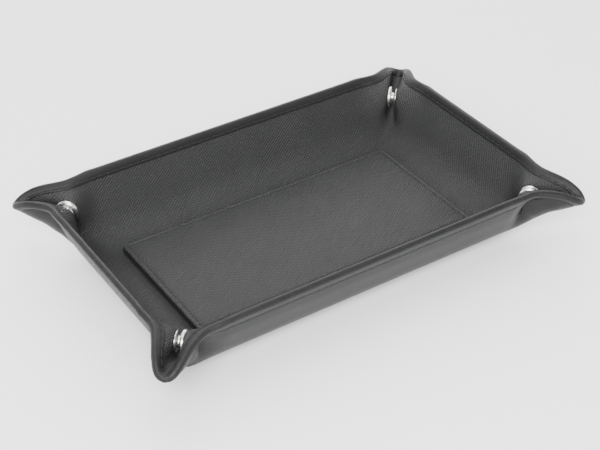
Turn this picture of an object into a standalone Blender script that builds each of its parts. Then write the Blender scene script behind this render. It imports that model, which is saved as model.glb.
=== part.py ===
"""Snap-up tray of stitched leather, held in its tray shape by four press studs.

The tray is one flat laminate: an outer skin, stiffeners, and a lining. It folds up along four
fold lines, and each corner pinches into an ear that a press stud holds shut. Every sheet piece
is drawn in the flat sheet, and its body then carries it to the folded shape.

All the fold axes of a corner meet in one point, FOLD_RISE above the lining. The walls and the
ear's two layers then close up exactly when the tray is folded, and again when it lies flat.

Lengths are in millimetres and are turned into metres where a mesh or an empty is made.
X runs along the tray, Y across it, and Z up from the surface that it stands on.
"""

import math

import bmesh
import bpy
from mathutils import Matrix, Vector

MM = 0.001

# The flat sheet
FOLD_LENGTH = 169.0  # between the fold lines of the two end walls
FOLD_WIDTH = 92.0  # between the fold lines of the front and back walls
WALL = 31.8  # from a fold line to the sheet's edge
CORNER_RADIUS = 15.0  # of the sheet's rounded corners

# The laminate
SKIN = 1.0
STIFFENER = 1.2
LINING = 1.0
GAP = 0.3  # between touching pieces
EDGE_GAP = 0.4  # from a piece's edge to its fold line

# The fold
WALL_ANGLE = 65.0  # of a folded wall, from the horizontal
FOLD_RISE = 2.2  # of the fold axes above the lining, so half the way between an ear's linings
STRIP_START = 12.0  # from a corner to where its fold strips begin

# The raised centre panel
PANEL_LENGTH = 146.0
PANEL_WIDTH = 71.0
PANEL_HEIGHT = 3.1
PANEL_COVER = 1.1
PANEL_CORNER = 1.6
STITCH_INSET = 2.4
STITCH_WIDTH = 0.6
STITCH_HEIGHT = 0.5

# The press studs
SNAP_ALONG = 18.8  # from the corner, along the side crease, to a press stud's axis
SNAP_ACROSS = -1.2  # from the side crease to that axis, towards the ear
PATCH_RADIUS = 5.5  # of the leather round a press stud
NECK = math.radians(15.0)  # half the angle over which that leather runs on into the ear
CAP_RADIUS = 5.2
CAP_HEIGHT = 1.2
POST_RADIUS = 4.0
POST_HEIGHT = 0.8
SHAFT_RADIUS = 1.5
DISC_RADIUS = 4.9
PLATE = 0.6  # of the socket, under its recess
NUB_RADIUS = 2.0
RECESS_RADIUS = 2.6
NUB_GAP = 0.4
CUT_OUT_RADIUS = 10.0  # that a wall leaves free round a press stud
SEGMENTS = 24

# What follows from them
SKIN_TOP = SKIN
STIFFENER_BASE = SKIN_TOP + GAP
STIFFENER_TOP = STIFFENER_BASE + STIFFENER
LINING_BASE = STIFFENER_TOP + GAP
LINING_TOP = LINING_BASE + LINING
AXIS_HEIGHT = LINING_TOP + FOLD_RISE
FOLD = math.radians(WALL_ANGLE)
CREASE = math.atan(math.cos(FOLD))  # between a side crease and the line square to the fold line
EAR_FOLD = math.acos(math.sin(FOLD) / math.sqrt(2.0))  # at a side crease
STRIP_FOLD = math.radians(90.0)

ALONG_CREASE = Vector((math.sin(CREASE), math.cos(CREASE), 0.0))
ACROSS_CREASE = Vector((math.cos(CREASE), -math.sin(CREASE), 0.0))
DIAGONAL = Vector((1.0, 1.0, 0.0)).normalized()
OFF_DIAGONAL = Vector((-1.0, 1.0, 0.0)).normalized()

SWAP = Matrix(((0, 1, 0), (1, 0, 0), (0, 0, 1)))


def clear_scene():
    for thing in list(bpy.data.objects):
        bpy.data.objects.remove(thing)


def material(name, colour, roughness, metallic=0.0):
    made = bpy.data.materials.new(name)
    made.use_nodes = True
    shader = made.node_tree.nodes["Principled BSDF"]
    shader.inputs["Base Color"].default_value = (*colour, 1.0)
    shader.inputs["Roughness"].default_value = roughness
    shader.inputs["Metallic"].default_value = metallic
    return made


def turn(angle, axis, point=(0.0, 0.0, 0.0)):
    """A rotation about the line through point, in millimetres."""
    there = Matrix.Translation(Vector(point))
    return there @ Matrix.Rotation(angle, 4, Vector(axis)) @ there.inverted()


def body(name, place, parent=None):
    """An empty on a body's joint axis. place carries the flat sheet's frame there, in millimetres."""
    empty = bpy.data.objects.new(name, None)
    bpy.context.scene.collection.objects.link(empty)
    world = place.copy()
    world.translation = place.translation * MM
    empty.empty_display_size = 0.01
    empty["world"] = [list(row) for row in world]
    if parent is not None:
        above = Matrix([list(row) for row in parent["world"]])
        empty.parent = parent
        empty.matrix_local = above.inverted() @ world
    else:
        empty.matrix_local = world
    return empty


def add(name, mesh, parent, look, smooth=False):
    thing = bpy.data.objects.new(name, mesh)
    bpy.context.scene.collection.objects.link(thing)
    thing.parent = parent
    if look is not None:
        mesh.materials.append(look)
    if smooth:
        mesh.shade_smooth()
        mesh.set_sharp_from_angle(angle=math.radians(35.0))
    return thing


def finished(bm, name):
    bmesh.ops.recalc_face_normals(bm, faces=bm.faces)
    mesh = bpy.data.meshes.new(name)
    bm.to_mesh(mesh)
    bm.free()
    return mesh


def prism(name, outline, low, high, parent, look, frame=None):
    """A flat outline made solid between two heights above the standing surface."""
    bm = bmesh.new()
    base = AXIS_HEIGHT if parent is not None else 0.0
    corners = []
    for x, y in outline:
        point = Vector((x, y, low - base))
        if frame is not None:
            point = frame @ point
        corners.append(bm.verts.new(point * MM))
    face = bm.faces.new(corners)
    made = bmesh.ops.extrude_face_region(bm, geom=[face])
    lifted = [g for g in made["geom"] if isinstance(g, bmesh.types.BMVert)]
    bmesh.ops.translate(bm, verts=lifted, vec=(0.0, 0.0, (high - low) * MM))
    return add(name, finished(bm, name), parent, look)


def turned(name, profile, centre, parent, look, frame):
    """A closed profile of (radius, height) points turned about the upright line through centre."""
    bm = bmesh.new()
    axis = frame @ Vector((centre.x, centre.y, 0.0))
    corners = []
    for radius, height in profile:
        point = axis + Vector((radius, 0.0, height - AXIS_HEIGHT))
        corners.append(bm.verts.new(point * MM))
    for first, second in zip(corners, corners[1:]):
        bm.edges.new((first, second))
    if profile[0][0] > 0.0:
        bm.edges.new((corners[-1], corners[0]))
    bmesh.ops.spin(
        bm,
        geom=bm.verts[:] + bm.edges[:],
        cent=axis * MM,
        axis=(0.0, 0.0, 1.0),
        angle=math.tau,
        steps=SEGMENTS,
        use_merge=False,
    )
    bmesh.ops.remove_doubles(bm, verts=bm.verts, dist=0.00001)
    return add(name, finished(bm, name), parent, look, smooth=True)


def cut_round(target, centre, radius, frame):
    """Takes a round hole through a sheet piece, with its axis square to the sheet."""
    bm = bmesh.new()
    axis = frame @ Vector((centre.x, centre.y, 0.0))
    bmesh.ops.create_cone(
        bm,
        cap_ends=True,
        segments=SEGMENTS,
        radius1=radius * MM,
        radius2=radius * MM,
        depth=4.0 * AXIS_HEIGHT * MM,
        matrix=Matrix.Translation(axis * MM),
    )
    name = f"{target.name}_cutter_{len(target.modifiers)}"
    cutter = add(name, finished(bm, name), target.parent, None)
    combine(target, cutter, "DIFFERENCE")


def join_patch(target, ear, low, high, frame):
    """Adds the patch of leather that carries a press stud."""
    patch = prism(f"{target.name}_patch", patch_outline(ear), low, high, target.parent, None, frame)
    combine(target, patch, "UNION")


def combine(target, tool, operation):
    tool.hide_render = True
    tool.display_type = "WIRE"
    modifier = target.modifiers.new(tool.name, "BOOLEAN")
    modifier.operation = operation
    modifier.solver = "EXACT"
    modifier.object = tool


def snap_centre():
    return ALONG_CREASE * SNAP_ALONG + ACROSS_CREASE * SNAP_ACROSS


def setback(low):
    """How far a piece's edge stands back from a side crease, so that it folds without touching."""
    return (AXIS_HEIGHT - low) * math.tan(EAR_FOLD / 2.0) + GAP / 2.0


def rectangle(length, width):
    x, y = length / 2.0, width / 2.0
    return [(-x, -y), (x, -y), (x, y), (-x, y)]


def rounded_rectangle(length, width, radius, steps=4):
    points = []
    corners = ((1, 1, 0.0), (-1, 1, 90.0), (-1, -1, 180.0), (1, -1, 270.0))
    for sign_x, sign_y, start in corners:
        centre_x = sign_x * (length / 2.0 - radius)
        centre_y = sign_y * (width / 2.0 - radius)
        for step in range(steps + 1):
            angle = math.radians(start + 90.0 * step / steps)
            points.append((centre_x + radius * math.cos(angle), centre_y + radius * math.sin(angle)))
    return points


def clipped(outline, normal, distance):
    """The part of a convex outline whose points lie at least distance along normal."""
    points = [Vector(point).to_3d() for point in outline]
    kept = []
    for here, there in zip(points, points[1:] + points[:1]):
        depth = here.dot(normal) - distance
        next_depth = there.dot(normal) - distance
        if depth >= 0.0:
            kept.append(here)
        if depth * next_depth < 0.0:
            kept.append(here.lerp(there, depth / (depth - next_depth)))
    return [(point.x, point.y) for point in kept]


def sheet_corner(steps=8):
    """The sheet past both fold lines of a corner, which is at the origin, with its round corner."""
    points = [(0.0, WALL), (0.0, 0.0), (WALL, 0.0)]
    centre = WALL - CORNER_RADIUS
    for step in range(2 * steps + 1):
        angle = math.radians(90.0) * step / (2 * steps)
        points.append((centre + CORNER_RADIUS * math.cos(angle), centre + CORNER_RADIUS * math.sin(angle)))
    return points


def wall_outline(fold_length, low):
    """A wall in the flat sheet. Its fold line runs along X through the origin, and it lies at +Y."""
    half = fold_length / 2.0
    right = [(x + half, y) for x, y in sheet_corner()[2:]]
    outline = right + [(-x, y) for x, y in reversed(right)]
    outline = clipped(outline, Vector((0.0, 1.0, 0.0)), EDGE_GAP)
    for sign in (1.0, -1.0):
        inward = Vector((-sign * ACROSS_CREASE.x, -ACROSS_CREASE.y, 0.0))
        outline = clipped(outline, inward, setback(low) - half * ACROSS_CREASE.x)
    return outline


def ear_outline(low):
    """The ear layer beside a long wall, in the flat sheet, with the corner at the origin."""
    outline = clipped(sheet_corner(), ACROSS_CREASE, setback(low))
    return clipped(outline, OFF_DIAGONAL, FOLD_RISE + EDGE_GAP)


def strip_outline():
    """The half of the ear's fold strip beside a long wall, in the flat sheet."""
    outline = clipped(sheet_corner(), OFF_DIAGONAL, EDGE_GAP)
    outline = clipped(outline, -OFF_DIAGONAL, EDGE_GAP / 2.0 - FOLD_RISE)
    return clipped(outline, DIAGONAL, STRIP_START)


def patch_outline(ear):
    """Round the press stud, and drawn out to a point in the middle of the ear layer."""
    centre = snap_centre()
    middle = sum((Vector(point).to_3d() for point in ear), Vector()) / len(ear)
    heading = math.atan2(middle.y - centre.y, middle.x - centre.x)
    points = [(middle.x, middle.y)]
    for step in range(2 * SEGMENTS + 1):
        angle = heading + NECK + (math.tau - 2.0 * NECK) * step / (2 * SEGMENTS)
        points.append((centre.x + PATCH_RADIUS * math.cos(angle), centre.y + PATCH_RADIUS * math.sin(angle)))
    return points


def make_base(looks):
    root = body("base_body", Matrix.Translation((0.0, 0.0, AXIS_HEIGHT)))
    outline = rectangle(FOLD_LENGTH - 2.0 * EDGE_GAP, FOLD_WIDTH - 2.0 * EDGE_GAP)
    prism("base_skin", outline, 0.0, SKIN_TOP, root, looks["skin"])
    prism("base_board", outline, STIFFENER_BASE, STIFFENER_TOP, root, looks["board"])
    prism("base_lining", outline, LINING_BASE, LINING_TOP, root, looks["lining"])
    return root


def make_panel(root, looks):
    """A stiff board under a turned-down leather cover, sewn round its edge."""
    low = LINING_TOP + GAP
    high = low + PANEL_HEIGHT
    outline = rounded_rectangle(PANEL_LENGTH, PANEL_WIDTH, PANEL_CORNER)
    cover = prism("panel_cover", outline, low, high, root, looks["lining"])

    inside = 2.0 * (PANEL_COVER + GAP)
    room = rectangle(PANEL_LENGTH - 2.0 * PANEL_COVER, PANEL_WIDTH - 2.0 * PANEL_COVER)
    hollow = prism("panel_hollow", room, low - 1.0, high - PANEL_COVER, root, None)
    combine(cover, hollow, "DIFFERENCE")
    board = rectangle(PANEL_LENGTH - inside, PANEL_WIDTH - inside)
    prism("panel_board", board, low, high - PANEL_COVER - GAP, root, looks["board"])

    groove_depth = STITCH_HEIGHT
    groove = ring("panel_groove", STITCH_INSET, STITCH_WIDTH + 2.0 * GAP, high - groove_depth, high + 1.0, root, None)
    combine(cover, groove, "DIFFERENCE")
    thread_low = high - groove_depth + GAP
    ring("panel_thread", STITCH_INSET, STITCH_WIDTH, thread_low, thread_low + STITCH_HEIGHT, root, looks["thread"])


def ring(name, inset, width, low, high, parent, look):
    """A closed run of thread, or of groove, round the panel."""
    bm = bmesh.new()
    loops = []
    for reach in (inset - width / 2.0, inset + width / 2.0):
        outline = rectangle(PANEL_LENGTH - 2.0 * reach, PANEL_WIDTH - 2.0 * reach)
        for height in (low, high):
            loops.append([bm.verts.new(Vector((x, y, height - AXIS_HEIGHT)) * MM) for x, y in outline])
    outer_low, outer_high, inner_low, inner_high = loops
    for first, second in (
        (outer_low, outer_high),
        (outer_high, inner_high),
        (inner_high, inner_low),
        (inner_low, outer_low),
    ):
        for i in range(4):
            j = (i + 1) % 4
            bm.faces.new((first[i], first[j], second[j], second[i]))
    return add(name, finished(bm, name), parent, look)


def make_wall(name, fold_length, distance, frame, root, looks):
    """One wall on its fold line. frame turns the drawing's +Y towards the wall."""
    place = Matrix.Translation(frame @ Vector((0.0, distance, 0.0)) + Vector((0.0, 0.0, AXIS_HEIGHT)))
    axis = frame.determinant() * (frame @ Vector((1.0, 0.0, 0.0)))
    hinge = body(f"{name}_body", place @ turn(FOLD, axis), root)
    layers = (
        ("skin", 0.0, SKIN_TOP, looks["skin"]),
        ("stiffener", STIFFENER_BASE, STIFFENER_TOP, looks["board"]),
        ("lining", LINING_BASE, LINING_TOP, looks["lining"]),
    )
    for part, low, high, look in layers:
        sheet = prism(f"{name}_{part}", wall_outline(fold_length, low), low, high, hinge, look, frame)
        for sign in (-1.0, 1.0):
            centre = snap_centre()
            spot = Vector((sign * (fold_length / 2.0 + centre.x), centre.y))
            cut_round(sheet, spot, CUT_OUT_RADIUS, frame)
    return hinge


def make_ear_layer(name, corner, frame, wall, looks):
    """One of an ear's two layers and its half of the fold strip, on the wall beside it."""
    fold = turn(FOLD, (1.0, 0.0, 0.0)) @ turn(EAR_FOLD, ALONG_CREASE)
    hinge_line = OFF_DIAGONAL * FOLD_RISE + Vector((0.0, 0.0, -FOLD_RISE))
    turn_frame = frame.to_4x4()
    place = Matrix.Translation(corner)
    ear = body(f"{name}_body", place @ turn_frame @ fold @ turn_frame.transposed(), wall)
    layers = (
        ("skin", 0.0, STIFFENER_TOP, looks["skin"]),
        ("lining", LINING_BASE, LINING_TOP, looks["lining"]),
    )
    for part, low, high, look in layers:
        outline = ear_outline(low)
        sheet = prism(f"{name}_{part}", outline, low, high, ear, look, frame)
        join_patch(sheet, outline, low, high, frame)
        cut_round(sheet, snap_centre(), SHAFT_RADIUS + GAP, frame)

    bend = fold @ turn(-STRIP_FOLD, DIAGONAL, hinge_line)
    strip = body(f"{name}_strip_body", place @ turn_frame @ bend @ turn_frame.transposed(), ear)
    prism(f"{name}_strip", strip_outline(), 0.0, LINING_TOP, strip, looks["skin"], frame)
    return ear


def socket_side(name, ear, frame, looks):
    """The half of a press stud with the socket: a domed cap outside, its socket on the lining."""
    shaft_top = LINING_TOP + GAP + PLATE - 0.1
    cap = [
        (0.0, -GAP - CAP_HEIGHT),
        (CAP_RADIUS * 0.55, -GAP - CAP_HEIGHT * 0.9),
        (CAP_RADIUS * 0.9, -GAP - CAP_HEIGHT * 0.55),
        (CAP_RADIUS, -GAP - CAP_HEIGHT * 0.2),
        (CAP_RADIUS, -GAP),
        (SHAFT_RADIUS, -GAP),
        (SHAFT_RADIUS, shaft_top),
        (0.0, shaft_top),
    ]
    turned(f"{name}_cap", cap, snap_centre(), ear, looks["metal"], frame)
    low, high = LINING_TOP + GAP, AXIS_HEIGHT - GAP / 2.0
    socket = [
        (SHAFT_RADIUS + GAP, low),
        (DISC_RADIUS, low),
        (DISC_RADIUS, high - 0.4),
        (DISC_RADIUS - 0.5, high),
        (RECESS_RADIUS, high),
        (RECESS_RADIUS, low + PLATE),
        (SHAFT_RADIUS + GAP, low + PLATE),
    ]
    turned(f"{name}_socket", socket, snap_centre(), ear, looks["metal"], frame)


def stud_side(name, ear, frame, looks):
    """The half with the stud: a post riveted from outside, the stud's nub on the lining."""
    low, high = LINING_TOP + GAP, AXIS_HEIGHT - GAP / 2.0 - 0.1
    bore_top = low + 0.8
    nub_top = 2.0 * AXIS_HEIGHT - (LINING_TOP + GAP + PLATE) - NUB_GAP
    stud = [
        (0.0, nub_top),
        (NUB_RADIUS - 0.4, nub_top),
        (NUB_RADIUS, nub_top - 0.4),
        (NUB_RADIUS - 0.1, high),
        (DISC_RADIUS - 0.5, high),
        (DISC_RADIUS, high - 0.4),
        (DISC_RADIUS, low),
        (SHAFT_RADIUS + GAP, low),
        (SHAFT_RADIUS + GAP, bore_top),
        (0.0, bore_top),
    ]
    turned(f"{name}_stud", stud, snap_centre(), ear, looks["metal"], frame)
    post = [
        (0.0, -GAP - POST_HEIGHT),
        (POST_RADIUS * 0.8, -GAP - POST_HEIGHT),
        (POST_RADIUS, -GAP - POST_HEIGHT * 0.4),
        (POST_RADIUS, -GAP),
        (SHAFT_RADIUS, -GAP),
        (SHAFT_RADIUS, bore_top - GAP),
        (0.0, bore_top - GAP),
    ]
    turned(f"{name}_post", post, snap_centre(), ear, looks["metal"], frame)


def main():
    clear_scene()
    looks = {
        "skin": material("black_skin", (0.03, 0.03, 0.032), 0.55),
        "lining": material("black_lining", (0.035, 0.035, 0.037), 0.6),
        "board": material("grey_board", (0.3, 0.28, 0.25), 0.9),
        "thread": material("black_thread", (0.012, 0.012, 0.013), 0.8),
        "metal": material("nickel", (0.8, 0.8, 0.8), 0.25, 1.0),
    }
    root = make_base(looks)
    make_panel(root, looks)

    half_length, half_width = FOLD_LENGTH / 2.0, FOLD_WIDTH / 2.0
    upright = Matrix.Identity(3)
    walls = {}
    for name, sign in (("front", -1), ("back", 1)):
        frame = Matrix.Diagonal((1, sign, 1))
        walls[name] = make_wall(f"{name}_wall", FOLD_LENGTH, half_width, frame @ upright, root, looks)
    for name, sign in (("left", -1), ("right", 1)):
        frame = Matrix.Diagonal((sign, 1, 1)) @ SWAP
        walls[name] = make_wall(f"{name}_wall", FOLD_WIDTH, half_length, frame, root, looks)

    for end, sign_x in (("left", -1), ("right", 1)):
        for side, sign_y in (("front", -1), ("back", 1)):
            corner = Vector((sign_x * half_length, sign_y * half_width, AXIS_HEIGHT))
            mirror = Matrix.Diagonal((sign_x, sign_y, 1))
            name = f"{side}_{end}_ear"
            long_layer = make_ear_layer(f"{name}_{side}", corner, mirror, walls[side], looks)
            short_layer = make_ear_layer(f"{name}_{end}", corner, mirror @ SWAP, walls[end], looks)
            snap = f"{side}_{end}_snap"
            socket_side(snap, long_layer, mirror, looks)
            stud_side(snap, short_layer, mirror @ SWAP, looks)


main()
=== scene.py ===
"""The look of the snap-up leather tray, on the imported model.

The leather is one sheet. Every point of it has a place in the flat sheet, and quarter_point()
gives where that point lies on the snapped tray. The straight walls follow from the fold. The
corners come from relaxing a sheet that is pinned to the base, to the walls and to a press stud,
and drawn to a rim of a given shape. That drawing stretches them, up to a third in places.
"""

import math

import bpy
import numpy as np
from mathutils import Matrix, Vector


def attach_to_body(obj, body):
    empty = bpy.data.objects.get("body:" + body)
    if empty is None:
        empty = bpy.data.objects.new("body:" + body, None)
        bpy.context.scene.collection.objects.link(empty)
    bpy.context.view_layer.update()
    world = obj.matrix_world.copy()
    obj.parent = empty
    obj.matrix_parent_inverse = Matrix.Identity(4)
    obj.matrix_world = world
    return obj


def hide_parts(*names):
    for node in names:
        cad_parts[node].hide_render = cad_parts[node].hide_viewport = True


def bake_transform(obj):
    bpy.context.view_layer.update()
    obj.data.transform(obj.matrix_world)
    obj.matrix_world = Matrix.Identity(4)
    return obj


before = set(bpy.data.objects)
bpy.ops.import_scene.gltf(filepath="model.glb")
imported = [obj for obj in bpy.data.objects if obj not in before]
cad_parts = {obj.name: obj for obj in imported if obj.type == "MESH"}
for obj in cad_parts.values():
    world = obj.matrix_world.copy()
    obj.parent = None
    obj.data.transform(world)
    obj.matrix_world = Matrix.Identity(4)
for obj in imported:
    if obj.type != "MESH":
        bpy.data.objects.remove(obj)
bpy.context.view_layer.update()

MM = 0.001

# The tray's own sizes, in millimetres
HALF_LENGTH = 84.5  # from the middle to an end wall's fold line
HALF_WIDTH = 46.0
WALL = 31.8
CORNER_RADIUS = 15.0
THICKNESS = 3.8  # of the whole laminate
FOLD_RISE = 2.2
WALL_ANGLE = math.radians(65.0)
BEND_RADIUS = 18.0  # of the lining, where a wall rises from the base
HEM = 5.0  # width of the turned edge, inside the rim
HEM_RISE = 0.45
SNAP = (6.23, 17.73)  # of a press stud in the flat sheet, from the corner of the fold lines
AXIS_HEIGHT = THICKNESS + FOLD_RISE

CREASE = math.atan(math.cos(WALL_ANGLE))
EAR_FOLD = math.acos(math.sin(WALL_ANGLE) / math.sqrt(2.0))
BEND_REACH = (BEND_RADIUS - FOLD_RISE) * math.tan(WALL_ANGLE / 2.0)

# The rim beside a corner, from the long wall to the tip, measured from the corner's fold point
RIM = np.array(
    [
        (-12.0, 16.1, 27.9),
        (-7.2, 16.0, 27.8),
        (-1.6, 16.0, 27.3),
        (2.5, 17.0, 26.7),
        (7.2, 19.6, 25.9),
        (12.6, 22.4, 24.5),
        (16.8, 24.0, 22.6),
        (20.6, 24.7, 20.8),
        (22.8, 24.7, 19.8),
        (24.2, 24.2, 19.4),
    ]
)

GRID = 1.4  # of the relaxed sheet
GRID_LOW = -26.0  # where the relaxed part begins, short of the fold lines
RIM_PULL = 0.5  # how hard the rim is drawn to RIM, where an edge's stiffness is 1
HELD = 50.0  # the same, for points that are held in place
APART = 4.0  # the same, for points that must stay on their own side of the diagonal
LINING_APART = 0.3  # of an ear's lining from the diagonal plane
WALL_END = -9.0  # where a wall's straight part ends, short of the corner
STUD_HELD = 5.2  # radius that a press stud holds flat


def rotation(axis, angle):
    return np.array(Matrix.Rotation(angle, 3, Vector(axis)))


WALL_TURN = rotation((1, 0, 0), WALL_ANGLE)
EAR_TURN = WALL_TURN @ rotation((math.sin(CREASE), math.cos(CREASE), 0), EAR_FOLD)


def wall_section(v):
    """(out, up) of the lining's top across a straight fold, v past the fold line."""
    v = np.asarray(v, float)
    reach = BEND_REACH
    turned = np.clip((v + reach) / (2.0 * reach), 0.0, 1.0) * WALL_ANGLE
    out = -reach + BEND_RADIUS * np.sin(turned)
    up = -FOLD_RISE + BEND_RADIUS * (1.0 - np.cos(turned))
    wall_out = v * math.cos(WALL_ANGLE) + FOLD_RISE * math.sin(WALL_ANGLE)
    wall_up = v * math.sin(WALL_ANGLE) - FOLD_RISE * math.cos(WALL_ANGLE)
    out = np.where(v < -reach, v, np.where(v > reach, wall_out, out))
    up = np.where(v < -reach, -FOLD_RISE, np.where(v > reach, wall_up, up))
    return out, up


def smooth_path(points, steps=40):
    """A Catmull-Rom curve through points, and the length along it."""
    ends = np.vstack([2 * points[0] - points[1], points, 2 * points[-1] - points[-2]])
    t = np.linspace(0.0, 1.0, steps, endpoint=False)[:, None]
    parts = []
    for p0, p1, p2, p3 in zip(ends, ends[1:], ends[2:], ends[3:]):
        bend = (2 * p0 - 5 * p1 + 4 * p2 - p3) * t**2 + (3 * p1 - p0 - 3 * p2 + p3) * t**3
        parts.append(0.5 * (2 * p1 + (p2 - p0) * t + bend))
    path = np.vstack(parts + [points[-1:]])
    length = np.concatenate([[0.0], np.cumsum(np.linalg.norm(np.diff(path, axis=0), axis=1))])
    return path, length


def inside_sheet(u, w, margin=0.0):
    centre = WALL - CORNER_RADIUS
    round_part = (u > centre) & (w > centre)
    far = np.hypot(u - centre, w - centre) > CORNER_RADIUS + margin
    return (u < WALL + margin) & (w < WALL + margin) & ~(round_part & far)


class Corner:
    """The relaxed sheet round one corner, on a square grid of the flat sheet.

    Its points minimise stretching and bending together. Each round first sets every edge to
    its flat length, and then solves for the points that suit those edges best.
    """

    def __init__(self, rounds=260):
        count = int(round((WALL - GRID_LOW) / GRID)) + 2
        self.step = (WALL - GRID_LOW) / (count - 2)
        self.grid = GRID_LOW + self.step * np.arange(count)
        self.count = count
        u, w = np.meshgrid(self.grid, self.grid, indexing="ij")
        self.used = inside_sheet(u, w, 1.3 * self.step)
        self.index = np.full((count, count), -1)
        self.index[self.used] = np.arange(self.used.sum())
        self.flat = np.stack([u[self.used], w[self.used]], 1)
        self.place = self.relax(self.rigid_start(), rounds)
        self.table = self.filled()

    def rigid_start(self):
        u, w = self.flat.T
        swap = u > w
        along, past = np.where(swap, w, u), np.where(swap, u, w)
        sheet = np.stack([along, past, np.full(len(u), -FOLD_RISE)], 1)
        out, up = wall_section(past)
        start = np.stack([along, out, up], 1)
        ear = (along * math.cos(CREASE) - past * math.sin(CREASE) > 0.0) & (past > 0.0)
        start[ear] = (sheet @ EAR_TURN.T)[ear]
        start[swap] = start[swap][:, [1, 0, 2]]
        return start

    def relax(self, place, rounds):
        n = len(self.flat)
        flat = self.flat
        normal = np.zeros((n, n))
        ends, stiffness = [], []
        for du, dw, k in ((1, 0, 1.0), (0, 1, 1.0), (1, 1, 0.5), (1, -1, 0.5)):
            a, b = self.pairs(du, dw)
            ends.append((a, b))
            stiffness.append(np.full(len(a), k))
        a = np.concatenate([pair[0] for pair in ends])
        b = np.concatenate([pair[1] for pair in ends])
        k = np.concatenate(stiffness)
        length = np.linalg.norm(flat[a] - flat[b], axis=1)
        np.add.at(normal, (a, a), k)
        np.add.at(normal, (b, b), k)
        np.add.at(normal, (a, b), -k)
        np.add.at(normal, (b, a), -k)
        for du, dw, k_bend in ((1, 0, 0.15), (0, 1, 0.15), (1, 1, 0.05), (1, -1, 0.05)):
            before, middle, after = self.triples(du, dw)
            for p, cp in ((before, 1.0), (middle, -2.0), (after, 1.0)):
                for q, cq in ((before, 1.0), (middle, -2.0), (after, 1.0)):
                    np.add.at(normal, (p, q), k_bend * cp * cq)
        pin, target = self.pins()
        normal[np.arange(n), np.arange(n)] += pin
        fixed = pin[:, None] * target
        for weights, where in self.rim_pins():
            rows = [i for i, _ in weights]
            shares = np.array([share for _, share in weights])
            normal[np.ix_(rows, rows)] += RIM_PULL * np.outer(shares, shares)
            fixed[rows] += RIM_PULL * shares[:, None] * where
        off = np.array([-1.0, 1.0, 0.0]) / math.sqrt(2.0)
        side = np.sign(np.round(flat[:, 1] - flat[:, 0], 6))
        facing = (side != 0) & (flat.max(axis=1) > 0.0)
        normal[facing, facing] += APART
        solve = np.linalg.inv(normal)
        mirror = self.index.T[self.used]
        for _ in range(rounds):
            edge = place[a] - place[b]
            edge *= (k * length / np.linalg.norm(edge, axis=1))[:, None]
            wanted = fixed.copy()
            np.add.at(wanted, a, edge)
            np.add.at(wanted, b, -edge)
            short = np.maximum(LINING_APART - (place @ off) * side, 0.0) * side
            wanted[facing] += APART * (place + short[:, None] * off)[facing]
            place = solve @ wanted
            place = 0.5 * (place + place[mirror][:, [1, 0, 2]])
        return place

    def pairs(self, du, dw):
        first, second = shifted(self.index, 0, 0, du, dw), shifted(self.index, du, dw, du, dw)
        good = (first >= 0) & (second >= 0)
        return first[good], second[good]

    def triples(self, du, dw):
        three = [shifted(self.index, i * du, i * dw, 2 * du, 2 * dw) for i in range(3)]
        good = (three[0] >= 0) & (three[1] >= 0) & (three[2] >= 0)
        return [part[good] for part in three]

    def pins(self):
        """How hard each point is held, and where."""
        u, w = self.flat.T
        pin = np.zeros(len(u))
        target = np.zeros((len(u), 3))
        base = (u < -BEND_REACH) & (w < -BEND_REACH)
        target[base] = np.stack([u, w, np.full(len(u), -FOLD_RISE)], 1)[base]
        pin[base] = HELD
        for along, past, order in ((u, w, [0, 1, 2]), (w, u, [1, 0, 2])):
            out, up = wall_section(past)
            straight = np.stack([along, out, up], 1)[:, order]
            ends_at = np.where(past > BEND_REACH, WALL_END - 3.0 * (WALL - past) / WALL, -10.0)
            board = (along < ends_at) & (past > along) & ~base
            target[board] = straight[board]
            pin[board] = 1.0
            edge = board & (along < GRID_LOW + 2.5 * self.step)
            pin[edge] = HELD
            stud = np.hypot(along - SNAP[0], past - SNAP[1]) < STUD_HELD
            sheet = np.stack([along, past, np.full(len(u), -FOLD_RISE)], 1)
            target[stud] = (sheet @ EAR_TURN.T)[:, order][stud]
            pin[stud] = HELD
        return pin, target

    def rim_pins(self):
        """Points of the rim with their places on RIM, as shares of the grid's points."""
        path, along = smooth_path(RIM)
        outline = rim_outline(RIM[0][0])
        flat_along = np.concatenate(
            [[0.0], np.cumsum(np.linalg.norm(np.diff(outline, axis=0), axis=1))]
        )
        reach = flat_along / flat_along[-1] * along[-1]
        places = np.stack([np.interp(reach, along, path[:, i]) for i in range(3)], 1)
        for (u, w), where in zip(outline, places):
            yield self.shares(u, w), where
            yield self.shares(w, u), where[[1, 0, 2]]

    def shares(self, u, w):
        i = min(int((u - GRID_LOW) / self.step), self.count - 2)
        j = min(int((w - GRID_LOW) / self.step), self.count - 2)
        a = (u - GRID_LOW) / self.step - i
        b = (w - GRID_LOW) / self.step - j
        corners = (
            (i, j, (1 - a) * (1 - b)),
            (i + 1, j, a * (1 - b)),
            (i, j + 1, (1 - a) * b),
            (i + 1, j + 1, a * b),
        )
        return [(self.index[p, q], share) for p, q, share in corners if self.index[p, q] >= 0]

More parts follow.
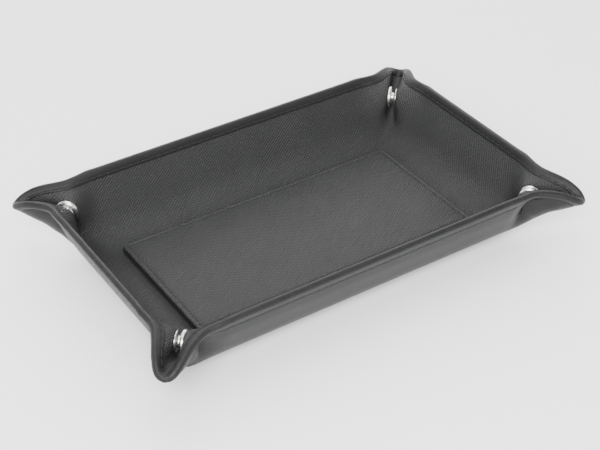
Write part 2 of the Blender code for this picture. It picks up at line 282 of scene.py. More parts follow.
    def filled(self):
        """The relaxed points as a full table, run on past the sheet's rounded corner."""
        table = np.full((self.count + 3, self.count + 3, 3), np.nan)
        table[: self.count, : self.count][self.used] = self.place
        for _ in range(14):
            missing = np.isnan(table[:, :, 0])
            if not missing.any():
                break
            grown = np.zeros_like(table)
            number = np.zeros(missing.shape)
            for du, dw in ((1, 0), (0, 1), (1, 1)):
                one = np.full_like(table, np.nan)
                two = np.full_like(table, np.nan)
                one[du:, dw:] = table[: table.shape[0] - du, : table.shape[1] - dw]
                two[2 * du :, 2 * dw :] = table[: table.shape[0] - 2 * du, : table.shape[1] - 2 * dw]
                guess = 2.0 * one - two
                good = ~np.isnan(guess[:, :, 0])
                grown[good] += guess[good]
                number[good] += 1
            found = missing & (number > 0)
            table[found] = grown[found] / number[found][:, None]
        return table

    def point(self, u, w):
        """The lining's top at flat points, by cubic interpolation in both directions."""
        a = (np.asarray(u, float) - GRID_LOW) / self.step
        b = (np.asarray(w, float) - GRID_LOW) / self.step
        i = np.clip(a.astype(int), 1, self.count - 1)
        j = np.clip(b.astype(int), 1, self.count - 1)
        row, column = cubic(a - i), cubic(b - j)
        result = np.zeros(a.shape + (3,))
        for p in range(4):
            for q in range(4):
                result += (row[p] * column[q])[..., None] * self.table[i + p - 1, j + q - 1]
        return result


def shifted(table, du, dw, span_u, span_w):
    """table moved by (du, dw), cut to what all moves within the span have in common."""
    n = table.shape[0]
    low_w = max(0, -span_w)
    high_w = n - max(0, span_w)
    return table[du : n - span_u + du, low_w + dw : high_w + dw]


def cubic(t):
    return (
        0.5 * (-t + 2 * t**2 - t**3),
        0.5 * (2 - 5 * t**2 + 3 * t**3),
        0.5 * (t + 4 * t**2 - 3 * t**3),
        0.5 * (t**3 - t**2),
    )


def rim_outline(start):
    """The flat sheet's edge from u = start on the long side to the diagonal."""
    centre = WALL - CORNER_RADIUS
    line = [(u, WALL) for u in np.arange(start, centre, 1.0)]
    arc = [
        (centre + CORNER_RADIUS * math.sin(a), centre + CORNER_RADIUS * math.cos(a))
        for a in np.linspace(0.0, math.pi / 4.0, 13)
    ]
    return np.array(line + arc)


corner = Corner()


def quarter_point(u, w):
    """The lining's top in one quarter. u and w run from the fold lines; the origin is their corner."""
    u, w = np.broadcast_arrays(np.asarray(u, float), np.asarray(w, float))
    result = np.zeros(u.shape + (3,))
    long_out, long_up = wall_section(w)
    short_out, short_up = wall_section(u)
    result[..., 0] = np.where(w > -BEND_REACH, u, short_out)
    result[..., 1] = np.where(w > -BEND_REACH, long_out, w)
    result[..., 2] = np.where(w > -BEND_REACH, long_up, short_up)
    near = (u > GRID_LOW + corner.step) & (w > GRID_LOW + corner.step)
    if near.any():
        blend = np.minimum(u, w)[near]
        share = np.clip((blend - GRID_LOW - corner.step) / 4.0, 0.0, 1.0)[..., None]
        relaxed = corner.point(u[near], w[near])
        result[near] = share * relaxed + (1.0 - share) * result[near]
    return result


def quarter_frame(u, w):
    """Points and unit normals, the normals out of the lining."""
    d = 0.25
    here = quarter_point(u, w)
    du = quarter_point(np.asarray(u) + d, w) - quarter_point(np.asarray(u) - d, w)
    dw = quarter_point(u, np.asarray(w) + d) - quarter_point(u, np.asarray(w) - d)
    normal = np.cross(du, dw)
    normal /= np.linalg.norm(normal, axis=-1, keepdims=True)
    return here, normal


# The turned edge, from the outer face round the rim to the hem: (inset from the edge, height)
RIM_THICKNESS = 2.9  # the laminate thins towards its edge, where the boards have ended
EDGE_OUTER = [
    (1.4, -2.9), (0.7, -2.75), (0.2, -2.35), (0.0, -1.8), (0.0, -0.9), (0.2, -0.3), (0.7, 0.2),
    (1.4, HEM_RISE), (2.7, HEM_RISE), (3.4, HEM_RISE - 0.1), (3.8, HEM_RISE - 0.2), (4.2, HEM_RISE - 0.08),
    (4.7, HEM_RISE - 0.1), (HEM, 0.12), (HEM, -0.3),
]  # fmt: skip
EDGE_INNER = [
    (1.4, -2.2), (1.1, -2.15), (0.9, -2.0), (0.75, -1.7), (0.75, -1.1), (0.9, -0.7), (1.1, -0.5),
    (1.4, -0.4), (2.7, -0.38), (3.4, -0.38), (3.8, -0.38), (4.2, -0.38), (4.5, -0.38), (4.6, -0.38),
    (4.7, -0.38),
]  # fmt: skip
EDGE_START = WALL - EDGE_OUTER[0][0]
EDGE_STEP = 0.4  # between the turned edge's lines, in the mesh's own coordinate
LINING_EDGE = WALL - HEM + 0.6
THIN_FROM = 12.0  # distance from the edge where the laminate begins to thin
SEAM_INSET = 4.4  # of the stitched seam, from the edge
SEAM_WIDTH = 0.4
SEAM_DEPTH = 0.28  # that the thread pulls it in on the outer face
STUD_SWELL = 0.9  # that a covered cap lifts the outer face
STUD_REACH = 5.6
COARSE_STEP = 6.0  # of the mesh in the middle of the tray
FINE_STEP = 1.3  # of the mesh near the folds and the corners


def thinned(inset):
    share = np.clip((THIN_FROM - inset) / (THIN_FROM - EDGE_OUTER[0][0]), 0.0, 1.0)
    return (THICKNESS - RIM_THICKNESS) * share**2 * (3.0 - 2.0 * share)


class Surface:
    """One face of a leather layer: heights over the lining, and its turned edge if it has one."""

    def __init__(self, height, edge=None, seam=0.0):
        self.height = height
        self.edge = edge
        self.seam = seam

    def at(self, line):
        """(inset, height) for a mesh line at that distance from the fold line."""
        line = np.asarray(line, float)
        if self.edge is None:
            return WALL - line, np.full(line.shape, self.height)
        k = (line - EDGE_START) / EDGE_STEP
        index = np.arange(len(self.edge))
        inset = np.where(k <= 0, WALL - line, np.interp(k, index, [e[0] for e in self.edge]))
        seam = self.seam * np.exp(-(((inset - SEAM_INSET) / SEAM_WIDTH) ** 2))
        height = np.where(
            k <= 0, self.height + thinned(inset) + seam, np.interp(k, index, [e[1] for e in self.edge])
        )
        return inset, height

    def points(self, s, t):
        """World points in mm, and flat coordinates, for mesh lines s and t of a quarter."""
        centre = WALL - CORNER_RADIUS
        ring = np.maximum(s, t)
        inset, height = self.at(ring)
        a, b = s - centre, t - centre
        both = (a > 0) & (b > 0)
        high = np.maximum(np.maximum(a, b), 1e-9)
        angle = math.pi / 4.0 * np.where(both, np.minimum(a, b) / high, 0.0)
        radius = CORNER_RADIUS - inset
        near, far = radius * np.sin(angle), radius * np.cos(angle)
        u = np.where(both, centre + np.where(a > b, far, near), np.where(s > t, WALL - inset, s))
        w = np.where(both, centre + np.where(a > b, near, far), np.where(s > t, t, WALL - inset))
        low = ring <= EDGE_START
        u = np.where(low & ~both, s, u)
        w = np.where(low & ~both, t, w)
        here, normal = quarter_frame(u, w)
        if self.edge is not None:
            off = np.minimum(np.hypot(u - SNAP[0], w - SNAP[1]), np.hypot(w - SNAP[0], u - SNAP[1]))
            height = height - STUD_SWELL * np.exp(-((off / STUD_REACH) ** 4))
        place = here + normal * height[..., None]
        return place + np.array([HALF_LENGTH, HALF_WIDTH, AXIS_HEIGHT]), np.stack([u, w], -1)


def mesh_lines(half, end, edged):
    """Distances from a fold line where the mesh is cut, from the tray's middle outwards."""
    coarse = np.linspace(-half, GRID_LOW, max(2, int((half + GRID_LOW) / COARSE_STEP) + 1))
    last = EDGE_START if edged else end
    fine = np.linspace(GRID_LOW, last, int(round((last - GRID_LOW) / FINE_STEP)) + 1)
    lines = np.concatenate([coarse[:-1], fine])
    if edged:
        seam = WALL - SEAM_INSET + SEAM_WIDTH * np.arange(-2, 3)
        away = np.abs(lines - (WALL - SEAM_INSET)) > 2.75 * SEAM_WIDTH
        lines = np.sort(np.concatenate([lines[away], seam]))
        lines = np.concatenate([lines, EDGE_START + EDGE_STEP * np.arange(1, len(EDGE_OUTER))])
    return lines


QUARTERS = [(sx, sy) for sx in (-1, 1) for sy in (-1, 1)]
ENDS = {-1: "left", 1: "right"}
SIDES = {-1: "front", 1: "back"}

# Where the leather is split into pieces
EAR_FROM = -9.0  # along a wall, where its ear's pieces begin
BASE_TO = -7.0  # across a fold, where the base's piece ends
EAR_LOW = 5.0  # across a fold, where an ear's pieces begin
NOSE_FROM = (20.0, 2.6)  # along and off the diagonal, where an ear's tip begins
NOSE_TURN = Vector((0.835, -0.55))  # square to the line where it begins
# An ear turns into its fold strip at the nose. That turn is given as complete on the diagonal plane at
# NOSE_AT along the nose's own line, growing by NOSE_RISE a millimetre further out, and falling by
# NOSE_FALL a millimetre away from that plane; attach() hands these to bend_between(), which does not blend.
NOSE_LINE = (0.5975, 0.5975, 0.534)
NOSE_AT = 17.0
NOSE_RISE = 0.19
NOSE_FALL = 0.85


def region(s, t, sx, sy):
    """The part of the leather that a flat point belongs to, as (kind, its names)."""
    side, end = SIDES[sy], ENDS[sx]
    long_side = t >= s
    along, past = (s, t) if long_side else (t, s)
    wall = side if long_side else end
    if past < BASE_TO:
        return ("base",)
    if along < EAR_FROM or past < EAR_LOW:
        return ("wall", wall)
    ear = f"{side}_{end}_ear_{wall}"
    off, out = (past - along) / math.sqrt(2.0), (past + along) / math.sqrt(2.0)
    if NOSE_TURN.dot((out, off)) > NOSE_TURN.dot(NOSE_FROM) and out > NOSE_FROM[0] - 1.0:
        return ("tip", wall, ear, sx, sy)
    if off < NOSE_FROM[1]:
        return ("nose", wall, ear, sx, sy)
    return ("low" if past < SNAP[1] else "high", wall, ear, sx, sy)


def corner_world(point, wall, sx, sy):
    """A point given beside the long wall of a corner, from its fold point, in world metres."""
    x, y, z = point
    if wall in ("left", "right"):
        x, y = y, x
    return Vector((sx * (HALF_LENGTH + x), sy * (HALF_WIDTH + y), AXIS_HEIGHT + z)) * MM


def bend_between(piece, gradient):
    """Bakes the piece's transform into its mesh; it blends nothing. gradient, in 1/mm, is not used."""
    gradient = Vector(gradient)
    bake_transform(piece)


def ear_place(u, w, height=0.0):
    return Vector(EAR_TURN @ np.array([u, w, height - FOLD_RISE]))


def attach(piece, key):
    """Rides a base piece on the base's body; any other piece only has its transform baked into its mesh."""
    kind = key[0]
    if kind == "base":
        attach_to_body(piece, "base")
        return
    if kind == "wall":
        wall = key[1]
        sign = 1.0 if wall in ("back", "right") else -1.0
        middle = HALF_WIDTH if wall in ("front", "back") else HALF_LENGTH
        start, end = [0.0, 0.0, 3.0], [0.0, 0.0, 9.5]
        across = 1 if wall in ("front", "back") else 0
        start[across], end[across] = sign * (middle - 6.5), sign * (middle + 5.5)
        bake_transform(piece)
        return
    wall, ear, sx, sy = key[1:]
    if kind in ("low", "high"):
        lean = -0.2 if kind == "low" else 0.55
        start = (EAR_FROM + 1.0, 16.0, 15.4)
        gradient = (1.0 / 8.0, 0.0, -lean / 8.0)
        bend_between(piece, gradient)
        return
    outward = Vector(NOSE_LINE)
    away = Vector((-1.0, 1.0, 0.0)) / math.sqrt(2.0)
    start = outward * NOSE_AT + away / NOSE_FALL
    bend_between(piece, outward * NOSE_RISE - away * NOSE_FALL)


def piece_name(key, layer):
    if key[0] == "base":
        return f"leather_base_{layer}"
    if key[0] == "wall":
        return f"leather_{key[1]}_wall_{layer}"
    return f"leather_{key[2]}_{key[0]}_{layer}"


def make_object(name, verts, faces, normals=None, uvs=None):
    mesh = bpy.data.meshes.new(name)
    mesh.from_pydata([tuple(v) for v in verts], [], [tuple(f) for f in faces])
    mesh.validate()
    thing = bpy.data.objects.new(name, mesh)
    bpy.context.scene.collection.objects.link(thing)
    mesh.shade_smooth()
    if uvs is not None:
        layer = mesh.uv_layers.new(name="flat")
        index = np.array([loop.vertex_index for loop in mesh.loops])
        layer.data.foreach_set("uv", np.asarray(uvs, float)[index].astype(np.float32).ravel())
    if normals is not None:
        mesh.normals_split_custom_set_from_vertices([tuple(n) for n in normals])
    return thing


def leather_layer(layer, top, bottom, edged, facing):
    """All the pieces of one leather layer. facing is +1 where top faces out of the lining."""
    s = mesh_lines(HALF_LENGTH, LINING_EDGE, edged)
    t = mesh_lines(HALF_WIDTH, LINING_EDGE, edged)
    ss, tt = np.meshgrid(s, t, indexing="ij")
    top_points, flat = top.points(ss, tt)
    bottom_points, _ = bottom.points(ss, tt)
    normals = facing * vertex_normals(top_points)
    groups = {}
    for sx, sy in QUARTERS:
        for i in range(len(s) - 1):
            for j in range(len(t) - 1):
                key = region((s[i] + s[i + 1]) / 2, (t[j] + t[j + 1]) / 2, sx, sy)
                groups.setdefault(key, []).append((sx, sy, i, j))
    made = {}
    for key, cells in groups.items():
        name = piece_name(key, layer)
        made[key] = leather_piece(name, cells, top_points, bottom_points, flat, normals, facing)
    return made


def vertex_normals(points):
    """Normals of the grid, with both triangles of each cell counted, so creases stay true."""
    normal = np.zeros_like(points)
    a, b, c, d = points[:-1, :-1], points[1:, :-1], points[1:, 1:], points[:-1, 1:]
    face = np.cross(c - a, d - b)
    normal[:-1, :-1] += face
    normal[1:, :-1] += face
    normal[1:, 1:] += face
    normal[:-1, 1:] += face
    # the quarter's two straight borders are mirror planes
    normal[0, :, 0] = 0.0
    normal[:, 0, 1] = 0.0
    return normal / np.maximum(np.linalg.norm(normal, axis=-1, keepdims=True), 1e-12)


cut = {}  # for each leather piece, the area of its top face as shaped, and its flat points, in mm


def leather_piece(name, cells, top, bottom, flat, normals, facing):
    """A closed shell from grid cells of one or more quarters."""
    area, outline = 0.0, []
    for sx, sy, i, j in cells:
        quad = [(i, j), (i + 1, j), (i + 1, j + 1), (i, j + 1)]
        outline += [(sx * (HALF_LENGTH + flat[p, q][0]), sy * (HALF_WIDTH + flat[p, q][1])) for p, q in quad]
        a, b, c, d = (top[p, q] for p, q in quad)
        area += 0.5 * float(np.linalg.norm(np.cross(c - a, d - b)))
    cut[name] = (area, outline)
    index = {}
    verts, shade, uvs = [], [], []

    def vertex(sx, sy, i, j, level):
        source = top if level == 0 else bottom
        x, y, z = source[i, j]
        place = (round(sx * x, 5), round(sy * y, 5), round(z, 5))
        key = (place, level)
        if key not in index:
            index[key] = len(verts)
            verts.append((place[0] * MM, place[1] * MM, place[2] * MM))
            n = normals[i, j] * (1.0 if level == 0 else -1.0)
            shade.append((sx * n[0], sy * n[1], n[2]))
            u, w = flat[i, j]
            uvs.append((sx * (HALF_LENGTH + u) * 0.01, sy * (HALF_WIDTH + w) * 0.01))
        return index[key]

    faces = []
    borders = {}
    for sx, sy, i, j in cells:
        quad = [(i, j), (i + 1, j), (i + 1, j + 1), (i, j + 1)]
        if sx * sy * facing < 0:
            quad.reverse()
        upper = [vertex(sx, sy, p, q, 0) for p, q in quad]
        lower = [vertex(sx, sy, p, q, 1) for p, q in quad]
        if len(set(upper)) < 4:
            continue
        faces.append(upper)
        faces.append(lower[::-1])
        for k in range(4):
            a, b = upper[k], upper[(k + 1) % 4]
            if (b, a) in borders:
                del borders[(b, a)]
            else:
                borders[(a, b)] = (lower[k], lower[(k + 1) % 4])
    for (a, b), (c, d) in borders.items():
        faces.append((b, a, c, d))
    return make_object(name, verts, faces, shade, uvs)


# Materials


def shader_material(name, colour, roughness, metallic=0.0, gloss=0.5):
    made = bpy.data.materials.new(name)
    made.use_nodes = True
    shader = made.node_tree.nodes["Principled BSDF"]
    shader.inputs["Base Color"].default_value = (*colour, 1.0)
    shader.inputs["Roughness"].default_value = roughness
    shader.inputs["Metallic"].default_value = metallic
    shader.inputs["Specular IOR Level"].default_value = gloss
    return made, made.node_tree, shader


def node(tree, kind, inputs=(), **settings):
    made = tree.nodes.new(kind)
    for key, value in settings.items():
        setattr(made, key, value)
    for key, value in dict(inputs).items():
        socket = made.inputs[key]
        if isinstance(value, bpy.types.NodeSocket):
            tree.links.new(value, socket)
        else:
            socket.default_value = value
    return made


def math_node(tree, operation, first, second=0.0):
    return node(tree, "ShaderNodeMath", {0: first, 1: second}, operation=operation).outputs[0]


def weighted(tree, first, share, second, other_share):
    return math_node(
        tree,
        "ADD",
        math_node(tree, "MULTIPLY", first, share),
        math_node(tree, "MULTIPLY", second, other_share),
    )


def noise(tree, place, scale, detail, output="Fac"):
    inputs = {"Vector": place, "Scale": scale, "Detail": detail}
    return node(tree, "ShaderNodeTexNoise", inputs).outputs[output]


def flat_millimetres(tree):
    """The place in the flat sheet, in mm. The UV map holds hundredths of that."""
    place = node(tree, "ShaderNodeTexCoord").outputs["UV"]
    return node(tree, "ShaderNodeVectorMath", {0: place, "Scale": 100.0}, operation="SCALE").outputs[0]


def colour_ramp(tree, factor, stops):
    ramp = node(tree, "ShaderNodeValToRGB", {"Fac": factor})
    elements = ramp.color_ramp.elements
    for element, (position, colour) in zip(elements, stops):
        element.position = position
        element.color = (*colour, 1.0)
    return ramp.outputs["Color"]


def saffiano(name, dark, light):
    """Cross-hatched leather: fine slanting ridges pressed both ways, and a soft unevenness."""
    made, tree, shader = shader_material(name, dark, 0.5, gloss=0.36)
    in_mm = flat_millimetres(tree)
    wobble = noise(tree, in_mm, 0.8, 2.0, "Color")
    shift = node(tree, "ShaderNodeVectorMath", {0: wobble, "Scale": 0.35}, operation="SCALE").outputs[0]
    moved = node(tree, "ShaderNodeVectorMath", {0: in_mm, 1: shift}, operation="ADD").outputs[0]
    ridges = []
    for angle in (math.radians(52.0), math.radians(-52.0)):
        turned = node(tree, "ShaderNodeMapping", {"Vector": moved, "Rotation": (0.0, 0.0, angle)}).outputs[0]
        x = node(tree, "ShaderNodeSeparateXYZ", {0: turned}).outputs[0]
        wave = math_node(tree, "SINE", math_node(tree, "MULTIPLY", x, math.tau / 1.15))
        ridges.append(wave)
    ridge = math_node(tree, "MAXIMUM", ridges[0], math_node(tree, "MULTIPLY", ridges[1], 0.75))
    grain = noise(tree, in_mm, 2.4, 3.0)
    height = math_node(tree, "ADD", math_node(tree, "MULTIPLY", ridge, 0.5), grain)
    bump = node(tree, "ShaderNodeBump", {"Height": height, "Strength": 1.0, "Distance": 0.0003})
    tree.links.new(bump.outputs[0], shader.inputs["Normal"])
    broad = noise(tree, in_mm, 0.05, 3.0)
    mixed = weighted(tree, height, 0.7, broad, 0.3)
    tree.links.new(colour_ramp(tree, mixed, ((0.2, dark), (0.9, light))), shader.inputs["Base Color"])
    spread = {"Value": height, "From Min": -0.2, "From Max": 1.2, "To Min": 0.6, "To Max": 0.42}
    rough = node(tree, "ShaderNodeMapRange", spread)
    tree.links.new(rough.outputs[0], shader.inputs["Roughness"])
    return made


def fine_grain(name, dark, light, roughness=0.45):
    """Smooth leather with small pebbles and a few faint creases."""
    made, tree, shader = shader_material(name, dark, roughness, gloss=0.25)
    in_mm = flat_millimetres(tree)
    pebbles = {"Vector": in_mm, "Scale": 1.35}
    cells = node(tree, "ShaderNodeTexVoronoi", pebbles, feature="DISTANCE_TO_EDGE")
    pebble = math_node(tree, "MINIMUM", math_node(tree, "MULTIPLY", cells.outputs["Distance"], 2.6), 1.0)
    small = noise(tree, in_mm, 3.0, 3.0)
    height = weighted(tree, pebble, 0.6, small, 0.6)
    bump = node(tree, "ShaderNodeBump", {"Height": height, "Strength": 0.7, "Distance": 0.0002})
    tree.links.new(bump.outputs[0], shader.inputs["Normal"])
    broad = noise(tree, in_mm, 0.06, 4.0)
    mixed = weighted(tree, height, 0.3, broad, 0.5)
    tree.links.new(colour_ramp(tree, mixed, ((0.2, dark), (0.9, light))), shader.inputs["Base Color"])
    return made


def thread_material(name, dark, light):
    made, tree, shader = shader_material(name, dark, 0.75)
    place = node(tree, "ShaderNodeTexCoord").outputs["Object"]
    strands = {"Vector": place, "Scale": 900.0, "Distortion": 2.0}
    twist = node(tree, "ShaderNodeTexWave", strands).outputs["Fac"]
    bump = node(tree, "ShaderNodeBump", {"Height": twist, "Strength": 0.5, "Distance": 0.0001})
    tree.links.new(bump.outputs[0], shader.inputs["Normal"])
    tree.links.new(colour_ramp(tree, twist, ((0.1, dark), (0.9, light))), shader.inputs["Base Color"])
    return made


def nickel_material(name):
    made, tree, shader = shader_material(name, (0.72, 0.71, 0.69), 0.22, 1.0)
    place = node(tree, "ShaderNodeTexCoord").outputs["Object"]
    scratch = noise(tree, place, 1500.0, 4.0)
    rough = node(tree, "ShaderNodeMapRange", {"Value": scratch, "To Min": 0.14, "To Max": 0.34}).outputs[0]
    tree.links.new(rough, shader.inputs["Roughness"])
    bump = node(tree, "ShaderNodeBump", {"Height": scratch, "Strength": 0.12, "Distance": 0.00005})
    tree.links.new(bump.outputs[0], shader.inputs["Normal"])
    return made


LINING_LOOK = saffiano("saffiano_leather", (0.0028, 0.0028, 0.0031), (0.019, 0.019, 0.0198))
SKIN_LOOK = fine_grain("grained_leather", (0.0042, 0.0042, 0.0046), (0.0135, 0.0135, 0.0141))
THREAD_LOOK = thread_material("black_thread", (0.0012, 0.0012, 0.0013), (0.005, 0.005, 0.0052))
METAL_LOOK = nickel_material("nickel")

# The leather

lining = leather_layer("lining", Surface(0.0), Surface(-0.9), False, 1)
outer_face = Surface(-THICKNESS, EDGE_OUTER, SEAM_DEPTH)
inner_face = Surface(-THICKNESS + 0.8, EDGE_INNER)
skin = leather_layer("skin", outer_face, inner_face, True, -1)
for pieces, look, slot in ((lining, LINING_LOOK, "lining"), (skin, SKIN_LOOK, "skin")):
    for key, piece in pieces.items():
        piece.data.materials.append(look)
        attach(piece, key)



def flat_rectangle(points):
    """The smallest rectangle round flat points, over a few directions."""
    best = None
    for degrees in range(0, 90, 5):
        a = math.radians(degrees)
        turned = points @ np.array([[math.cos(a), -math.sin(a)], [math.sin(a), math.cos(a)]])
        sides = turned.max(axis=0) - turned.min(axis=0)
        if best is None or sides.prod() < best.prod():
            best = sides
    return float(best[0]), float(best[1])


for pieces in (lining, skin):
    for key, piece in pieces.items():
        area, outline = cut[piece.name]
        width, length = flat_rectangle(np.array(outline))

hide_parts("base_lining")
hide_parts("base_skin", "base_board")
for wall in ("front", "back", "left", "right"):
    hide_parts(f"{wall}_wall_lining")
    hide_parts(f"{wall}_wall_skin", f"{wall}_wall_stiffener")
for key, piece in lining.items():
    if key[0] == "high":
        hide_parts(f"{key[2]}_lining")
for key, piece in skin.items():
    if key[0] == "high":
        covered = "cap" if key[1] in ("front", "back") else "post"
        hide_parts(f"{key[2]}_skin", f"{SIDES[key[4]]}_{ENDS[key[3]]}_snap_{covered}")
    if key[0] == "tip":
        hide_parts(f"{key[2]}_strip")

# Stitches

STITCH_PITCH = 3.76
STITCH_LENGTH = 2.9
STITCH_RADIUS = 0.32


def stitch_mesh(points, name):
    """Threads, each a flattened bead along the direction given, laid into the leather."""
    rings = ((-0.5, 0.25), (-0.42, 0.8), (-0.2, 1.0), (0.2, 1.0), (0.42, 0.8), (0.5, 0.25))
    sides = 8
    verts, faces = [], []
    for place, along, up in points:
        side = up.cross(along).normalized()
        base = len(verts)
        for share, width in rings:
            centre = place + along * (share * STITCH_LENGTH) + up * (0.1 * (width - 1.0))
            radius = STITCH_RADIUS * width
            for k in range(sides):
                angle = math.tau * k / sides
                off = side * (radius * math.cos(angle)) + up * (0.75 * radius * math.sin(angle))
                verts.append(centre + off)
        for r in range(len(rings) - 1):
            low, high = base + r * sides, base + (r + 1) * sides
            for k in range(sides):
                m = (k + 1) % sides
                faces.append((low + k, low + m, high + m, high + k))
        last = base + (len(rings) - 1) * sides
        faces.append([base + k for k in range(sides)][::-1])
        faces.append([last + k for k in range(sides)])
    return make_object(name, [v * MM for v in verts], faces)


def rim_stitches(inset, height, label, lift):
    """A run of stitches round the rim, split as the leather is. lift is -1 on the outer face."""
    groups = {}
    for sx, sy in QUARTERS:
        path = []
        for u in np.arange(-HALF_LENGTH, WALL - CORNER_RADIUS, 0.5):
            path.append((u, WALL - inset))
        radius = CORNER_RADIUS - inset
        centre = WALL - CORNER_RADIUS
        for a in np.linspace(0.0, math.pi / 2.0, 41):
            path.append((centre + radius * math.sin(a), centre + radius * math.cos(a)))
        for w in np.arange(centre, -HALF_WIDTH, -0.5):
            path.append((WALL - inset, w))
        path = np.array(path)
        length = np.concatenate([[0.0], np.cumsum(np.linalg.norm(np.diff(path, axis=0), axis=1))])
        count = int(round(length[-1] / STITCH_PITCH))
        middle = (np.arange(count) + 0.5) * length[-1] / count
        u, w = (np.interp(middle, length, path[:, k]) for k in (0, 1))
        ahead = [np.interp(middle + 0.3, length, path[:, k]) for k in (0, 1)]
        here, normal = quarter_frame(u, w)
        there, _ = quarter_frame(ahead[0], ahead[1])
        place = here + normal * height
        along = there - here
        for i in range(count):
            key = region(u[i], w[i], sx, sy)
            flip = np.array([sx, sy, 1.0])
            world = (place[i] + np.array([HALF_LENGTH, HALF_WIDTH, AXIS_HEIGHT])) * flip
            up = Vector(normal[i] * flip) * lift
            groups.setdefault(key, []).append((Vector(world), Vector(along[i] * flip).normalized(), up))
    for key, points in groups.items():
        thread = stitch_mesh(points, piece_name(key, label).replace("leather", "thread"))
        thread.data.materials.append(THREAD_LOOK)
        attach(thread, key)


rim_stitches(3.8, HEM_RISE - 0.1, "inner", 1.0)
rim_stitches(SEAM_INSET, 0.2 - THICKNESS + float(thinned(SEAM_INSET)), "outer", -1.0)

# The centre panel

PANEL_LENGTH = 146.6
PANEL_WIDTH = 72.0
PANEL_LOW = THICKNESS + 0.02
PANEL_CORNER = 2.2
PANEL_PROFILE = [
    (0.15, 0.0), (0.0, 0.4), (0.0, 2.3), (0.08, 2.75), (0.3, 3.1), (0.65, 3.32), (1.2, 3.38), (1.8, 3.3),
    (2.15, 3.05), (2.45, 2.95), (2.75, 3.05), (3.1, 3.3), (3.8, 3.4), (5.0, 3.42),
]  # fmt: skip
STITCH_INSET = 2.45


def panel_ring(inset, steps=6):
    radius = max(PANEL_CORNER - inset, 0.25)
    points = []
    for sign_x, sign_y, start in ((1, 1, 0.0), (-1, 1, 90.0), (-1, -1, 180.0), (1, -1, 270.0)):
        for step in range(steps + 1):
            angle = math.radians(start + 90.0 * step / steps)
            x = sign_x * (PANEL_LENGTH / 2 - inset - radius) + radius * math.cos(angle)
            y = sign_y * (PANEL_WIDTH / 2 - inset - radius) + radius * math.sin(angle)
            points.append((x, y))
    return points


def make_panel():
    verts, uvs, faces = [], [], []
    rings = []
    for inset, height in PANEL_PROFILE:
        ring = []
        for x, y in panel_ring(inset):
            ring.append(len(verts))
            verts.append((x * MM, y * MM, (PANEL_LOW + height) * MM))
            uvs.append((x * 0.01 + 0.003 * height, y * 0.01 + 0.003 * height))
        rings.append(ring)
    for lower, upper in zip(rings, rings[1:]):
        for k in range(len(lower)):
            m = (k + 1) % len(lower)
            faces.append((lower[k], lower[m], upper[m], upper[k]))
    faces.append(rings[-1])
    faces.append(rings[0][::-1])
    panel = make_object("panel_cover_leather", verts, faces, None, uvs)
    panel.data.set_sharp_from_angle(angle=math.radians(60.0))
    panel.data.materials.append(LINING_LOOK)
    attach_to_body(panel, "base")
    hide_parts("panel_cover", "panel_board")

    points = []
    top = PANEL_LOW + 3.0
    for length, other, turned in ((PANEL_LENGTH, PANEL_WIDTH, False), (PANEL_WIDTH, PANEL_LENGTH, True)):
        run = length - 2 * STITCH_INSET
        count = int(round(run / STITCH_PITCH))
        for i in range(count):
            a = -run / 2 + (i + 0.5) * run / count
            for sign in (-1.0, 1.0):
                b = sign * (other / 2 - STITCH_INSET)
                place = Vector((b, a, top)) if turned else Vector((a, b, top))
                along = Vector((0, 1, 0)) if turned else Vector((1, 0, 0))
                points.append((place, along, Vector((0, 0, 1))))
    thread = stitch_mesh(points, "thread_panel")
    thread.data.materials.append(THREAD_LOOK)
    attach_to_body(thread, "base")
    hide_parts("panel_thread")


make_panel()

# The press studs, each turned round its own axis: (radius, height over the ear's lining)

SOCKET = [
    (0.0, 0.05), (4.9, 0.05), (5.2, 0.3), (5.35, 0.8), (5.3, 1.3), (5.05, 1.7), (4.6, 1.95), (4.0, 2.0),
    (3.3, 1.95), (2.95, 1.75), (2.85, 1.3), (2.8, 0.9), (0.0, 0.85),
]  # fmt: skip
STUD = [
    (0.0, 0.05), (4.3, 0.05), (4.6, 0.2), (4.65, 0.45), (4.4, 0.68), (3.4, 0.78), (2.7, 0.95), (2.4, 1.3),
    (2.3, 1.8), (2.35, 2.2), (2.5, 2.5), (2.4, 2.8), (2.0, 3.0), (0.0, 3.08),
]  # fmt: skip


def make_press_stud(name, profile, wall, sx, sy, steps=40):
    verts, faces = [], []
    for radius, height in profile:
        for k in range(steps if radius > 0.0 else 1):
            angle = math.tau * k / steps
            across = (SNAP[0] + radius * math.cos(angle), SNAP[1] + radius * math.sin(angle))
            verts.append(corner_world(ear_place(*across, height), wall, sx, sy))
    rings = [[0]] + [list(range(1 + steps * i, 1 + steps * (i + 1))) for i in range(len(profile) - 2)]
    rings.append([len(verts) - 1])
    for lower, upper in zip(rings, rings[1:]):
        for k in range(steps):
            m = (k + 1) % steps
            corners = [lower[k % len(lower)], lower[m % len(lower)]]
            corners += [upper[m % len(upper)], upper[k % len(upper)]]
            faces.append(list(dict.fromkeys(corners)))
    if (sx * sy < 0) == (wall in ("front", "back")):
        faces = [face[::-1] for face in faces]
    made = make_object(name, verts, faces)
    made.data.materials.append(METAL_LOOK)
    side, end = SIDES[sy], ENDS[sx]
    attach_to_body(made, f"{side}_{end}_ear_{wall}")
    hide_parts(f"{side}_{end}_snap_{name.split('_')[-1]}")


for sx, sy in QUARTERS:
    corner_name = f"{SIDES[sy]}_{ENDS[sx]}"
    make_press_stud(f"{corner_name}_turned_socket", SOCKET, SIDES[sy], sx, sy)
    make_press_stud(f"{corner_name}_turned_stud", STUD, ENDS[sx], sx, sy)

# Stage, light and camera


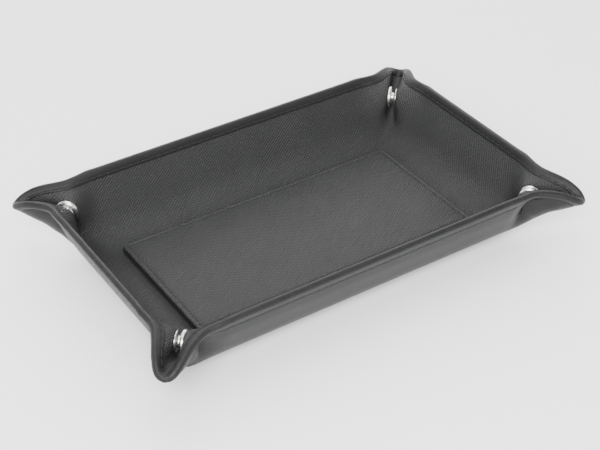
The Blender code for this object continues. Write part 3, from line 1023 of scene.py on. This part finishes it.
def make_stage():
    verts = [(-3, -3, 0), (3, -3, 0), (3, 3, 0), (-3, 3, 0)]
    floor = make_object("floor", verts, [(0, 1, 2, 3)])
    floor.location.z = -0.0002
    made, tree, shader = shader_material("pale_floor", (0.93, 0.93, 0.93), 0.8)
    floor.data.materials.append(made)


def area_light(name, power, size, place, aim=(0.0, 0.0, 0.02)):
    data = bpy.data.lights.new(name, "AREA")
    data.energy = power
    data.size = size
    lamp = bpy.data.objects.new(name, data)
    bpy.context.scene.collection.objects.link(lamp)
    lamp.location = place
    lamp.rotation_euler = (Vector(aim) - Vector(place)).to_track_quat("-Z", "Y").to_euler()


make_stage()
world = bpy.data.worlds.new("studio")
world.use_nodes = True
sky = world.node_tree
direction = node(sky, "ShaderNodeTexCoord").outputs["Generated"]
level = node(sky, "ShaderNodeSeparateXYZ", {0: direction}).outputs["Z"]
ramp = colour_ramp(sky, level, ((0.45, (1.0, 1.0, 1.0)), (0.75, (0.1, 0.1, 0.1))))
sky.links.new(ramp, sky.nodes["Background"].inputs["Color"])
sky.nodes["Background"].inputs["Strength"].default_value = 1.9
bpy.context.scene.world = world
area_light("back", 12.0, 0.8, (0.62, 0.94, 0.83))
area_light("key", 52.0, 0.7, (-0.75, -0.9, 1.0))
area_light("top", 32.0, 1.6, (0.0, 0.3, 1.6))

AZIMUTH, ELEVATION, DISTANCE = math.radians(-33.39), math.radians(36.34), 0.6479
TARGET = Vector((0.0084, 0.0125, -0.0003))
SENSOR = 36.0  # mm
FOCAL_LENGTH = 82.386  # mm
back = Vector(
    (
        math.sin(AZIMUTH) * math.cos(ELEVATION),
        -math.cos(AZIMUTH) * math.cos(ELEVATION),
        math.sin(ELEVATION),
    )
)
lens = bpy.data.cameras.new("camera")
lens.sensor_width = SENSOR
lens.lens = FOCAL_LENGTH
camera = bpy.data.objects.new("camera", lens)
bpy.context.scene.collection.objects.link(camera)
camera.location = TARGET + back * DISTANCE
camera.rotation_euler = back.to_track_quat("Z", "Y").to_euler()
bpy.context.scene.camera = camera
